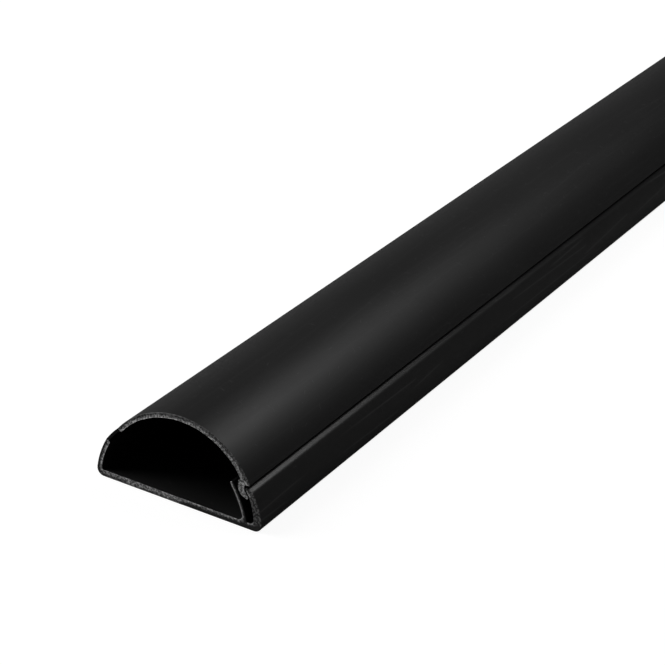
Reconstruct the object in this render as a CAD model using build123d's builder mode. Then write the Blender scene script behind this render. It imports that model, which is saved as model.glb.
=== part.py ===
"""Half-round cable raceway sold as straight stock: a base channel, a snap lid and the soft strip that hinges them.

All three pieces are one cross-section carried along Y. In the section X runs across the stock, from the hinge
side (negative) to the clip side (positive), and Z runs up from the flat underside. Sizes are in millimetres.
"""

import os
from math import sqrt

from build123d import *

# Stock
length = 1000
diameter = 50

# Base channel
floor_thickness = 1.8
hinge_wall = 1.4
hinge_wall_height = 11.4
clip_wall = 2.35
heel_rounding = 2.1
floor_rounding = 1.0

# Ledge and tongue at the top of the clip wall
ledge_height = 10.75
ledge_rise = 0.85
ledge_rounding = 1.4
tongue_overhang = 0.25
tongue_tip = 0.85
tongue_depth = 1.3
tongue_rounding = 0.3

# Soft hinge strip
hinge_rise = 4.0
strip_thickness = 0.9
strip_bow = 0.13

# Lid
lid_centre_height = 1.4
lid_thickness = 1.4
lid_clip_thickness = 1.9

# Clip that hangs from the lid and grips the tongue
lip_clearance = 0.63
groove_clearance = 0.45
hook_clearance = 0.35
hook_tip = 0.9
hook_foot = 0.6
hook_back_rise = 0.8
clip_web = 1.9
web_rise = 0.7
notch_rise = 1.25
web_rounding = 0.7
hook_rounding = 0.3

# Rib that keeps cables off the clip
rib_gap = 0.65
rib_lean = 0.95
rib_thickness = 0.9
rib_height = 12.0
rib_bend_radius = 30
rib_root_rounding = 1.2
pocket_rounding = 0.5

HINGE_SIDE = -1
CLIP_SIDE = 1


def on_circle(radius, height, side, centre_height=0):
    """Point at a height on a circle about the middle of the section, on the hinge side or the clip side."""
    return Vector(side * sqrt(radius**2 - (height - centre_height) ** 2), height)


def arc_about(centre, start, end):
    """Draw the arc about a centre from start to end, where it sweeps less than half a turn."""
    middle = ((start - centre).normalized() + (end - centre).normalized()).normalized()
    return ThreePointArc(start, centre + middle * (start - centre).length, end)


def round_corner(section, corner, radius):
    """Round the corner of a sketch that lies nearest to a point."""
    fillet(section.vertices().sort_by_distance(corner)[0], radius)


# Circles of the section
middle = Vector(0, 0)
base_radius = diameter / 2
hinge_bore = base_radius - hinge_wall
clip_bore = base_radius - clip_wall
lid_centre = Vector(0, lid_centre_height)
lid_radius = base_radius - lid_centre_height
clip_end_bore = lid_radius - lid_clip_thickness

# Hinge side: both rigid pieces end square to the strip between them
base_hinge_edge = on_circle(base_radius, hinge_wall_height, HINGE_SIDE)
lid_hinge_edge = on_circle(lid_radius, hinge_wall_height + hinge_rise, HINGE_SIDE, lid_centre_height)
along_strip = (lid_hinge_edge - base_hinge_edge).normalized()
into_strip = along_strip.rotate(Axis.Z, -90)
base_hinge_inner = base_hinge_edge + into_strip * hinge_wall
lid_hinge_inner = lid_hinge_edge + into_strip * lid_thickness
base_strip_inner = base_hinge_edge + into_strip * strip_thickness
lid_strip_inner = lid_hinge_edge + into_strip * strip_thickness

# Base channel: heels, floor and the tongue that leans in from the clip wall
hinge_heel = Vector(-base_radius, 0)
clip_heel = Vector(base_radius, 0)
floor_at_hinge = on_circle(hinge_bore, floor_thickness, HINGE_SIDE)
floor_at_clip = on_circle(clip_bore, floor_thickness, CLIP_SIDE)
hinge_wall_middle = on_circle(hinge_bore, (floor_thickness + base_hinge_inner.Y) / 2, HINGE_SIDE)
ledge_edge = on_circle(lid_radius, ledge_height, CLIP_SIDE, lid_centre_height)
tongue_low = on_circle(clip_bore, ledge_height + ledge_rise - tongue_tip, CLIP_SIDE) - Vector(tongue_overhang, 0)
tongue_top = tongue_low + Vector(0, tongue_tip)
tongue_root = on_circle(clip_bore, tongue_low.Y - tongue_depth, CLIP_SIDE)

# Outer face of the clip wall: upright at the heel and flush with the lid at the ledge
clip_wall_reach = (base_radius**2 - ledge_edge.length**2) / (2 * (base_radius - ledge_edge.X))
clip_wall_centre = Vector(clip_wall_reach, 0)

# Clip of the lid: a groove round the tongue, with a hook below it that follows the clip wall
under_tongue = (tongue_root - tongue_low).normalized()
hook_edge = tongue_root + under_tongue.rotate(Axis.Z, -90) * hook_clearance
groove_top = tongue_top + Vector(-groove_clearance, lip_clearance)
groove_low = hook_edge - under_tongue * ((hook_edge.X - groove_top.X) / under_tongue.X)
lip_edge = on_circle(lid_radius, groove_top.Y, CLIP_SIDE, lid_centre_height)
hook_radius = hook_edge.length
hook_heel = on_circle(hook_radius, hook_edge.Y - hook_tip, CLIP_SIDE)
hook_toe = hook_heel - Vector(hook_foot, 0)
web_low = groove_low - Vector(clip_web, 0)
web_top = Vector(web_low.X, groove_top.Y + web_rise)
hook_back = on_circle(web_low.length, hook_toe.Y + hook_back_rise, CLIP_SIDE)
notch = on_circle(clip_end_bore, groove_top.Y + notch_rise, CLIP_SIDE, lid_centre_height)

# Rib: its end stands a gap inside the back of the hook, and it leans out towards its root in the floor
rib_end_radius = web_low.length - rib_gap - rib_thickness / 2
rib_root_radius = rib_end_radius + rib_lean
rib_inner = rib_root_radius - rib_thickness / 2
rib_outer = rib_root_radius + rib_thickness / 2
rib_end = on_circle(rib_end_radius, rib_height - rib_thickness / 2, CLIP_SIDE)
rib_root = on_circle(rib_root_radius, floor_thickness / 2, CLIP_SIDE)

os.makedirs("parts", exist_ok=True)

# Base channel with its rib, fixed to the wall or floor by its underside
with BuildPart() as base_channel:
    with BuildSketch(Plane.XZ) as base_section:
        with BuildLine():
            arc_about(middle, base_hinge_edge, hinge_heel)
            Line(hinge_heel, clip_heel)
            arc_about(clip_wall_centre, clip_heel, ledge_edge)
            Polyline(ledge_edge, tongue_top, tongue_low, tongue_root)
            arc_about(middle, tongue_root, floor_at_clip)
            Line(floor_at_clip, floor_at_hinge)
            ThreePointArc(floor_at_hinge, hinge_wall_middle, base_hinge_inner)
            Line(base_hinge_inner, base_hinge_edge)
        make_face()
        with BuildLine():
            rib_line = RadiusArc(rib_end, rib_root, rib_bend_radius)
        SlotArc(rib_line, rib_thickness)
        round_corner(base_section, hinge_heel, heel_rounding)
        round_corner(base_section, clip_heel, heel_rounding)
        round_corner(base_section, floor_at_hinge, floor_rounding)
        round_corner(base_section, floor_at_clip, floor_rounding)
        round_corner(base_section, on_circle(rib_inner, floor_thickness, CLIP_SIDE), rib_root_rounding)
        round_corner(base_section, on_circle(rib_outer, floor_thickness, CLIP_SIDE), pocket_rounding)
        round_corner(base_section, tongue_top, tongue_rounding)
        round_corner(base_section, tongue_low, tongue_rounding)
        round_corner(base_section, ledge_edge, ledge_rounding)
    extrude(amount=length / 2, both=True)

base_channel.part.label = "base_channel"
export_step(base_channel.part, "parts/base_channel.step")

# Lid with the clip along its free edge, thicker there than at the crown
with BuildPart() as lid:
    with BuildSketch(Plane.XZ) as lid_section:
        with BuildLine():
            arc_about(lid_centre, lip_edge, lid_hinge_edge)
            Line(lid_hinge_edge, lid_hinge_inner)
            ThreePointArc(lid_hinge_inner, Vector(0, base_radius - lid_thickness), notch)
            Polyline(notch, web_top, web_low)
            arc_about(middle, web_low, hook_back)
            Polyline(hook_back, hook_toe, hook_heel)
            arc_about(middle, hook_heel, hook_edge)
            Polyline(hook_edge, groove_low, groove_top, lip_edge)
        make_face()
        round_corner(lid_section, web_top, web_rounding)
        round_corner(lid_section, hook_back, web_rounding)
        for corner in (hook_toe, hook_heel, hook_edge, groove_low, groove_top, lip_edge):
            round_corner(lid_section, corner, hook_rounding)
    extrude(amount=length / 2, both=True)

lid.part.label = "lid"
export_step(lid.part, "parts/lid.step")

# Soft strip, bonded edge to edge between the hinge wall and the lid, and bowed to carry on their outer face
with BuildPart() as hinge_strip:
    with BuildSketch(Plane.XZ) as strip_section:
        with BuildLine():
            SagittaArc(base_hinge_edge, lid_hinge_edge, strip_bow)
            Line(lid_hinge_edge, lid_strip_inner)
            SagittaArc(lid_strip_inner, base_strip_inner, -strip_bow)
            Line(base_strip_inner, base_hinge_edge)
        make_face()
    extrude(amount=length / 2, both=True)

hinge_strip.part.label = "hinge_strip"
export_step(hinge_strip.part, "parts/hinge_strip.step")
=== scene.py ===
"""Looks of a half-round cable raceway: a base channel, a snap lid and the soft strip that hinges them.

Every piece is one cross-section carried along Y. In the section X runs across the stock, from the hinge side
(negative) to the clip side (positive), and Z runs up from the flat underside. Section sizes are in
millimetres, meshes are in metres.
"""

import logging
import math
from abc import ABC, abstractmethod
from dataclasses import astuple, dataclass, field
from enum import Enum
from functools import cached_property
from typing import ClassVar

import bpy
import numpy as np
from mathutils import Matrix, Vector
from mathutils.geometry import delaunay_2d_cdt


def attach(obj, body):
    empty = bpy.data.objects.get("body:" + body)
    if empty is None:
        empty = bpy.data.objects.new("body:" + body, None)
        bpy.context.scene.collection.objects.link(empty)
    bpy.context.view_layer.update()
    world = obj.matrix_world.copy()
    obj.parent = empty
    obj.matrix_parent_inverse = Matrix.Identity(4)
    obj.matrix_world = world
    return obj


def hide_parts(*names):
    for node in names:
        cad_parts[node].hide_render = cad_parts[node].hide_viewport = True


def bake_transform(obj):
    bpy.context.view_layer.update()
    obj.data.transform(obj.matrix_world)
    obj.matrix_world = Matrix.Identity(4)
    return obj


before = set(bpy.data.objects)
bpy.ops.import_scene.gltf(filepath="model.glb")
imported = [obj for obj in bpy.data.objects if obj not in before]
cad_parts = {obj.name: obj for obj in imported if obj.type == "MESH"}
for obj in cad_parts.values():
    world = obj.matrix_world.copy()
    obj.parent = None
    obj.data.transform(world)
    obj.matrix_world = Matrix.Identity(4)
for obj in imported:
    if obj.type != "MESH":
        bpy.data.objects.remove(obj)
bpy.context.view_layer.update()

LOG = logging.getLogger("raceway")
MM = 0.001

Point = np.ndarray
Socket = bpy.types.NodeSocket


class Side(Enum):
    """The two long edges of the stock, by the sign of X."""

    HINGE = -1
    CLIP = 1


class Body(Enum):
    """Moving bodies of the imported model."""

    BASE = "base_body"
    LID = "lid_body"


class Slot(Enum):
    """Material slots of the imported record."""

    RIGID = "rigid_black_plastic"
    SOFT = "soft_black_plastic"


def add_object(name: str, data: bpy.types.ID) -> bpy.types.Object:
    """Make an object and put it in the scene.

    Args:
        name: Name of the object.
        data: Its mesh, lamp or camera.

    Returns:
        The object.
    """
    made = bpy.data.objects.new(name, data)
    bpy.context.scene.collection.objects.link(made)
    return made


def grey(value: float) -> tuple[float, float, float, float]:
    """An opaque grey."""
    return value, value, value, 1.0


# Plane geometry of the section


def point(x: float, z: float) -> Point:
    """A point or direction in the section."""
    return np.array([x, z], float)


def on_circle(radius: float, height: float, side: Side, centre_height: float = 0.0) -> Point:
    """Find the point at a height on a circle about the middle of the section.

    Args:
        radius: Radius of the circle.
        height: Height of the point above the underside.
        side: Which of the two points at that height is meant.
        centre_height: Height of the circle's centre.

    Returns:
        The point, whose X is side times sqrt(radius^2 - (height - centre height)^2).
    """
    return point(side.value * math.sqrt(radius**2 - (height - centre_height) ** 2), height)


def unit(vector: Point) -> Point:
    """The direction of a vector."""
    return vector / np.linalg.norm(vector)


def left_of(vectors: Point) -> Point:
    """Directions, or rows of them, turned a quarter turn anticlockwise."""
    return np.stack([-vectors[..., 1], vectors[..., 0]], axis=-1)


def circle_centre(first: Point, second: Point, third: Point) -> Point:
    """Centre of the circle through three points: it is equally far from all of them."""
    sides = 2 * np.array([second - first, third - first])
    return np.linalg.solve(sides, [second @ second - first @ first, third @ third - first @ first])


@dataclass(frozen=True)
class Trait:
    """What an edge of the outline carries, each as a share from 0 to 1.

    Attributes:
        burr: How much of the saw's burr its cut ends carry; under 0 where the saw has smeared them smooth,
            and over 1 where the burr turns white. The same share sets how light the sawn face is painted:
            its highest values also paint a highlight on edges that face the key light, a low one paints
            shade.
        polish: How far the lid's lip has rubbed it smooth.
        scuff: How far other lengths have rubbed it in the bundle.
    """

    burr: float = 1.0
    polish: float = 0.0
    scuff: float = 0.0


@dataclass(frozen=True)
class Loop:
    """A closed row of points, anticlockwise as seen from the near end, and the traits at each.

    Attributes:
        points: The points.
        burr: Share of the saw's burr at each, which also paints light and shade on the sawn face.
        polish: Share of the polish at each.
        scuff: Share of the scuffs at each.
    """

    points: np.ndarray
    burr: np.ndarray
    polish: np.ndarray
    scuff: np.ndarray


@dataclass(frozen=True)
class Edge:
    """One edge of an outline.

    Attributes:
        points: Dense row of its points.
        rounding: Radius of its first corner, 0 where it stays sharp.
        trait: What it carries.
    """

    points: np.ndarray
    rounding: float
    trait: Trait


@dataclass
class Outline:
    """Closed outline of a section, drawn anticlockwise as seen from the near end, edge by edge.

    The rounding of a corner is the circle that touches both edges: its centre is where the two edges cross
    after each is shifted sideways by the radius.

    Attributes:
        DENSE: Distance between the points of an edge.
        REACH: How many radii a rounding may reach along an edge.
        place: Where the next edge starts.
        spacing: Distance between the points of the finished outline.
        fillet_steps: Points on each rounded corner.
        edges: The edges so far.
    """

    DENSE: ClassVar[float] = 0.01
    REACH: ClassVar[float] = 4.0

    place: Point
    spacing: float = 0.7
    fillet_steps: int = 7
    edges: list[Edge] = field(default_factory=list)

    def line(self, end: Point, rounding: float = 0.0, trait: Trait = Trait()) -> None:
        """Add a straight edge.

        Args:
            end: Its last point.
            rounding: Radius of its first corner.
            trait: What it carries.
        """
        run = end - self.place
        share = np.linspace(0, 1, 2 + int(np.linalg.norm(run) / self.DENSE))[:, None]
        self.edges.append(Edge(self.place + share * run, rounding, trait))
        self.place = end

    def arc(
        self, centre: Point, end: Point, rounding: float = 0.0, trait: Trait = Trait(), turn: int = 0
    ) -> None:
        """Add the arc about a centre, which sweeps less than a turn.

        Args:
            centre: Centre of the arc.
            end: Its last point; its distance from the centre may differ a little, and the radius follows.
            rounding: Radius of its first corner.
            trait: What it carries.
            turn: 1 for anticlockwise, -1 for clockwise, 0 for the shorter way.
        """
        first, last = self.place - centre, end - centre
        sweep = math.atan2(first[0] * last[1] - first[1] * last[0], first @ last)
        if turn and sweep * turn < 0:
            sweep += turn * math.tau
        radii = np.linalg.norm(first), np.linalg.norm(last)
        count = 2 + int(abs(sweep) * radii[0] / self.DENSE)
        angle = math.atan2(first[1], first[0]) + np.linspace(0, sweep, count)
        radius = np.linspace(*radii, count)[:, None]
        points = centre + radius * np.stack([np.cos(angle), np.sin(angle)], axis=1)
        self.edges.append(Edge(points, rounding, trait))
        self.place = end

    def _fillet(self, before: np.ndarray, after: np.ndarray, radius: float) -> tuple[int, int, np.ndarray]:
        """Round the corner between two edges.

        Args:
            before: Points of the edge that ends at the corner.
            after: Points of the edge that starts there.
            radius: Radius of the rounding.

        Returns:
            Where the first edge stops, where the second goes on, and the points between.
        """
        reach = int(self.REACH * radius / self.DENSE)
        ends, starts = before[-reach:], after[:reach]
        tangents = np.gradient(ends, axis=0), np.gradient(starts, axis=0)
        into, away = unit(tangents[0][-1]), unit(tangents[1][0])
        side = math.copysign(radius, into[0] * away[1] - into[1] * away[0])
        shifted = [
            edge + side * left_of(tangent / np.linalg.norm(tangent, axis=1, keepdims=True))
            for edge, tangent in zip((ends, starts), tangents)
        ]
        apart = np.linalg.norm(shifted[0][:, None] - shifted[1][None], axis=2)
        stop, go = np.unravel_index(apart.argmin(), apart.shape)
        corner = Outline(ends[stop])
        corner.arc((shifted[0][stop] + shifted[1][go]) / 2, starts[go])
        bent = corner.edges[0].points
        picks = np.linspace(0, len(bent) - 1, self.fillet_steps).astype(int)
        return len(before) - len(ends) + int(stop), int(go), bent[picks]

    def loop(self) -> Loop:
        """Join the edges with their corners rounded.

        Returns:
            The closed outline, where the traits run evenly round each corner.
        """
        spans = [[0, len(edge.points) - 1] for edge in self.edges]
        corners = []
        for i, edge in enumerate(self.edges):
            bent = edge.points[:1]
            if edge.rounding:
                before = self.edges[i - 1].points
                spans[i - 1][1], spans[i][0], bent = self._fillet(before, edge.points, edge.rounding)
            corners.append(bent)
        traits = np.array([astuple(edge.trait) for edge in self.edges])
        rows, carried = [], []
        for edge, (first, last), corner, trait, previous in zip(
            self.edges, spans, corners, traits, np.roll(traits, 1, axis=0)
        ):
            steps = max(1, round((last - first) * self.DENSE / self.spacing))
            inner = edge.points[np.linspace(first, last, steps + 1).astype(int)[1:-1]]
            rows += [corner, inner]
            carried += [np.linspace(previous, trait, len(corner)), np.tile(trait, (len(inner), 1))]
        points, carried = np.concatenate(rows), np.concatenate(carried)
        apart = np.linalg.norm(points - np.roll(points, 1, axis=0), axis=1) > self.DENSE
        return Loop(points[apart], *carried[apart].T)


# The section's sizes, the same as the part's


@dataclass(frozen=True)
class Section:
    """Sizes of the whole cross-section in millimetres, and the points that follow from them."""

    # Stock
    length: float = 1000.0
    diameter: float = 50.0

    # Base channel
    floor_thickness: float = 1.8
    hinge_wall: float = 1.4
    hinge_wall_height: float = 11.4
    clip_wall: float = 2.35

    # Ledge and tongue at the top of the clip wall
    ledge_height: float = 10.75
    ledge_rise: float = 0.85
    tongue_overhang: float = 0.25
    tongue_tip: float = 0.85
    tongue_depth: float = 1.3

    # Soft hinge strip
    hinge_rise: float = 4.0
    strip_thickness: float = 0.9
    strip_bow: float = 0.13

    # Lid
    lid_centre_height: float = 1.4
    lid_thickness: float = 1.4
    lid_clip_thickness: float = 1.9

    # Clip that hangs from the lid and grips the tongue
    lip_clearance: float = 0.63
    groove_clearance: float = 0.45
    hook_clearance: float = 0.35
    hook_tip: float = 0.9
    hook_foot: float = 0.6
    hook_back_rise: float = 0.8
    clip_web: float = 1.9
    web_rise: float = 0.7
    notch_rise: float = 1.25

    # Rib that keeps cables off the clip
    rib_gap: float = 0.65
    rib_lean: float = 0.95
    rib_thickness: float = 0.9
    rib_height: float = 12.0
    rib_bend_radius: float = 30.0

    @cached_property
    def middle(self) -> Point:
        """Centre of the base's circle."""
        return point(0, 0)

    @cached_property
    def base_radius(self) -> float:
        """Outer radius of the base's walls."""
        return self.diameter / 2

    @cached_property
    def hinge_bore(self) -> float:
        """Inner radius of the hinge wall."""
        return self.base_radius - self.hinge_wall

    @cached_property
    def clip_bore(self) -> float:
        """Inner radius of the clip wall."""
        return self.base_radius - self.clip_wall

    @cached_property
    def lid_radius(self) -> float:
        """Outer radius of the lid."""
        return self.base_radius - self.lid_centre_height

    @cached_property
    def lid_centre(self) -> Point:
        """Centre of the lid's circle."""
        return point(0, self.lid_centre_height)

    # Hinge side

    @cached_property
    def base_hinge_edge(self) -> Point:
        """Outer top corner of the hinge wall."""
        return on_circle(self.base_radius, self.hinge_wall_height, Side.HINGE)

    @cached_property
    def lid_hinge_edge(self) -> Point:
        """Outer corner of the lid at the hinge."""
        height = self.hinge_wall_height + self.hinge_rise
        return on_circle(self.lid_radius, height, Side.HINGE, self.lid_centre_height)

    @cached_property
    def into_strip(self) -> Point:
        """Direction through the hinge strip, from its outer face to its inner one."""
        return -left_of(unit(self.lid_hinge_edge - self.base_hinge_edge))

    @cached_property
    def base_hinge_inner(self) -> Point:
        """Inner top corner of the hinge wall."""
        return self.base_hinge_edge + self.into_strip * self.hinge_wall

    @cached_property
    def lid_hinge_inner(self) -> Point:
        """Inner corner of the lid at the hinge."""
        return self.lid_hinge_edge + self.into_strip * self.lid_thickness

    # Tongue of the base

    @cached_property
    def ledge_edge(self) -> Point:
        """Outer edge of the ledge on top of the clip wall, flush with the lid."""
        return on_circle(self.lid_radius, self.ledge_height, Side.CLIP, self.lid_centre_height)

    @cached_property
    def clip_wall_centre(self) -> Point:
        """Centre of the clip wall's outer face, which is upright at the heel and ends at the ledge."""
        edge = self.ledge_edge
        return point((self.base_radius**2 - edge @ edge) / (2 * (self.base_radius - edge[0])), 0)

    @cached_property
    def tongue_low(self) -> Point:
        """Lower corner of the tongue's tip."""
        height = self.ledge_height + self.ledge_rise - self.tongue_tip
        return on_circle(self.clip_bore, height, Side.CLIP) - point(self.tongue_overhang, 0)

    @cached_property
    def tongue_top(self) -> Point:
        """Upper corner of the tongue's tip."""
        return self.tongue_low + point(0, self.tongue_tip)

    @cached_property
    def tongue_root(self) -> Point:
        """Where the tongue's underside meets the clip wall."""
        return on_circle(self.clip_bore, self.tongue_low[1] - self.tongue_depth, Side.CLIP)

    # Clip of the lid

    @cached_property
    def under_tongue(self) -> Point:
        """Direction of the tongue's underside, down and outwards."""
        return unit(self.tongue_root - self.tongue_low)

    @cached_property
    def hook_edge(self) -> Point:
        """Upper corner of the hook, under the tongue."""
        return self.tongue_root - left_of(self.under_tongue) * self.hook_clearance

    @cached_property
    def groove_top(self) -> Point:
        """Upper corner of the groove round the tongue."""
        return self.tongue_top + point(-self.groove_clearance, self.lip_clearance)

    @cached_property
    def groove_low(self) -> Point:
        """Lower corner of the groove."""
        back = (self.hook_edge[0] - self.groove_top[0]) / self.under_tongue[0]
        return self.hook_edge - self.under_tongue * back

    @cached_property
    def lip_edge(self) -> Point:
        """Outer corner of the lid's lip."""
        return on_circle(self.lid_radius, self.groove_top[1], Side.CLIP, self.lid_centre_height)

    @cached_property
    def hook_heel(self) -> Point:
        """Lower outer corner of the hook."""
        return on_circle(float(np.linalg.norm(self.hook_edge)), self.hook_edge[1] - self.hook_tip, Side.CLIP)

    @cached_property
    def hook_toe(self) -> Point:
        """Lower inner corner of the hook."""
        return self.hook_heel - point(self.hook_foot, 0)

    @cached_property
    def web_low(self) -> Point:
        """Lower corner of the web behind the groove."""
        return self.groove_low - point(self.clip_web, 0)

    @cached_property
    def web_top(self) -> Point:
        """Upper corner of the web."""
        return point(self.web_low[0], self.groove_top[1] + self.web_rise)

    @cached_property
    def web_radius(self) -> float:
        """Distance of the hook's back from the middle."""
        return float(np.linalg.norm(self.web_low))

    @cached_property
    def hook_back(self) -> Point:
        """Corner between the hook's back and its foot."""
        return on_circle(self.web_radius, self.hook_toe[1] + self.hook_back_rise, Side.CLIP)

    @cached_property
    def notch(self) -> Point:
        """Corner between the lid's inner face and the web."""
        bore = self.lid_radius - self.lid_clip_thickness
        return on_circle(bore, self.groove_top[1] + self.notch_rise, Side.CLIP, self.lid_centre_height)

    # Rib of the base

    @cached_property
    def rib_end_radius(self) -> float:
        """Distance of the rib's end from the middle."""
        return self.web_radius - self.rib_gap - self.rib_thickness / 2

    @cached_property
    def rib_end(self) -> Point:
        """Centre of the rib's rounded end."""
        return on_circle(self.rib_end_radius, self.rib_height - self.rib_thickness / 2, Side.CLIP)

    @cached_property
    def rib_centre(self) -> Point:
        """Find the centre of the rib's bend.

        Returns:
            The point on the inner side that lies at the bend's radius from both ends of the rib.
        """
        root = on_circle(self.rib_end_radius + self.rib_lean, self.floor_thickness / 2, Side.CLIP)
        half = (root - self.rib_end) / 2
        rise = math.sqrt(self.rib_bend_radius**2 - half @ half)
        return self.rib_end + half - left_of(unit(half)) * rise

    def rib_face(self, outwards: int) -> tuple[Point, Point]:
        """Find the foot and the top of one face of the rib.

        Args:
            outwards: 1 for the face towards the clip wall, -1 for the one towards the cables.

        Returns:
            The face's point on the channel's floor, and the one beside the centre of the rounded end.
        """
        radius = self.rib_bend_radius + outwards * self.rib_thickness / 2
        rise = self.floor_thickness - self.rib_centre[1]
        foot = self.rib_centre + point(math.sqrt(radius**2 - rise**2), rise)
        return foot, self.rib_centre + unit(self.rib_end - self.rib_centre) * radius


# Meshes


@dataclass(frozen=True)
class TornFace:
    """The face of one cut end.

    Attributes:
        points: Points inside the face's edge.
        depth: How far each lies behind the end plane.
        burr: Share of the burr at each, which also paints light and shade on the face.
        triangles: Corners of its triangles, where the edge's points count first and then those inside.
    """

    points: np.ndarray
    depth: np.ndarray
    burr: np.ndarray
    triangles: np.ndarray


@dataclass(frozen=True)
class SawCut:
    """A cut end: the saw leaves a low ragged burr round a torn face that lies just behind it.

    Attributes:
        KEEP_INSIDE: Tells the triangulation to keep only what lies inside the face's edge.
        SAME_POINT: Distance under which the triangulation takes two points for one.
        burr_height: Height of the burr over the face.
        burr_inset: Distance of the burr's crest from the outline.
        face_inset: Distance of the face's edge from the outline.
        break_depth: How far the outline's own edge lies behind the crest.
        ragged: Share of the burr's height that is broken off at random.
        tear: Height of the tears in the face.
        tear_spacing: Distance between the points of the face.
        seed: Start of the random numbers.
    """

    KEEP_INSIDE: ClassVar[int] = 1
    SAME_POINT: ClassVar[float] = 1e-6

    burr_height: float = 0.12
    burr_inset: float = 0.07
    face_inset: float = 0.16
    break_depth: float = 0.1
    ragged: float = 0.8
    tear: float = 0.09
    tear_spacing: float = 0.38
    seed: int = 7

    def rim(self, burr: np.ndarray, seed: int) -> tuple[np.ndarray, np.ndarray]:
        """Work out the three rows of one cut end, from the face's edge over the crest to the outline.

        Args:
            burr: Share of the burr at each point of the outline.
            seed: Start of the random numbers.

        Returns:
            The inset of each row, and the depth behind the end plane at each row and point. The crest's
            depth is the height that is broken off: a share drawn for each point, averaged with its
            neighbours.
        """
        burr = np.clip(burr, 0, 1)
        broken = np.random.default_rng(seed).random(len(burr))
        broken = (np.roll(broken, 1) + 2 * broken + np.roll(broken, -1)) / 4
        crest = self.burr_height * (1 - burr * (1 - self.ragged * broken))
        depth = np.stack([np.full_like(crest, self.burr_height), crest, crest + self.break_depth])
        return np.array([self.face_inset, self.burr_inset, 0.0]), depth

    def face(self, edge: np.ndarray, burr: np.ndarray, seed: int) -> TornFace:
        """Fill the face of one cut end.

        Args:
            edge: Points of the face's edge.
            burr: Share of the burr at each.
            seed: Start of the random numbers.

        Returns:
            The face. Its points lie on a grid of equal triangles, each moved a little at random, where a ray
            to the right crosses the edge an odd number of times. The burr's share at a point is the mean
            round the edge, weighted by one over the square of the distance, so that it runs evenly from wall
            to wall.
        """
        rng = np.random.default_rng(seed)
        low, high = edge.min(axis=0), edge.max(axis=0)
        z = np.arange(low[1], high[1], self.tear_spacing * math.sqrt(0.75))[:, None]
        stagger = np.arange(len(z))[:, None] % 2 * self.tear_spacing / 2
        x = np.arange(low[0], high[0], self.tear_spacing) + stagger
        grid = np.stack(np.broadcast_arrays(x, z), axis=-1).reshape(-1, 2)
        grid += (rng.random(grid.shape) - 0.5) * self.tear_spacing / 2

        run = np.roll(edge, -1, axis=0) - edge
        offset = grid[:, None] - edge
        share = np.clip((offset * run).sum(axis=2) / (run**2).sum(axis=1), 0, 1)
        distance = np.linalg.norm(offset - share[..., None] * run, axis=2)
        spans = (offset[..., 1] < 0) != (offset[..., 1] < run[:, 1])
        way = np.sign(run[:, 1])
        right = offset[..., 0] * run[:, 1] * way < offset[..., 1] * run[:, 0] * way
        clear = distance.min(axis=1) > self.tear_spacing / 2
        inside = ((spans & right).sum(axis=1) % 2 == 1) & clear

        weight = np.linalg.norm(run, axis=1) / distance[inside] ** 2
        corners = [Vector(corner) for corner in np.concatenate([edge, grid[inside]]).tolist()]
        border = list(range(len(edge)))
        found = delaunay_2d_cdt(corners, [], [border], self.KEEP_INSIDE, self.SAME_POINT)
        _, _, triangles, sources, _, _ = found
        order = np.array([ids[0] for ids in sources])
        return TornFace(
            grid[inside],
            self.burr_height + (rng.random(inside.sum()) - 0.5) * self.tear,
            weight @ burr / weight.sum(axis=1),
            order[np.array(triangles)],
        )


class Face(Enum):
    """Material index of a mesh's faces."""

    SKIN = 0
    CUT = 1


class Layer(Enum):
    """Names of what a mesh keeps at its points and corners for the materials."""

    # Share of the saw's burr, which also paints the sawn faces' highlight and shade.
    BURR_AND_LIGHT = "burr"
    POLISH = "polish"
    SCUFF = "scuff"
    UNROLLED = "unrolled"


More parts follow.
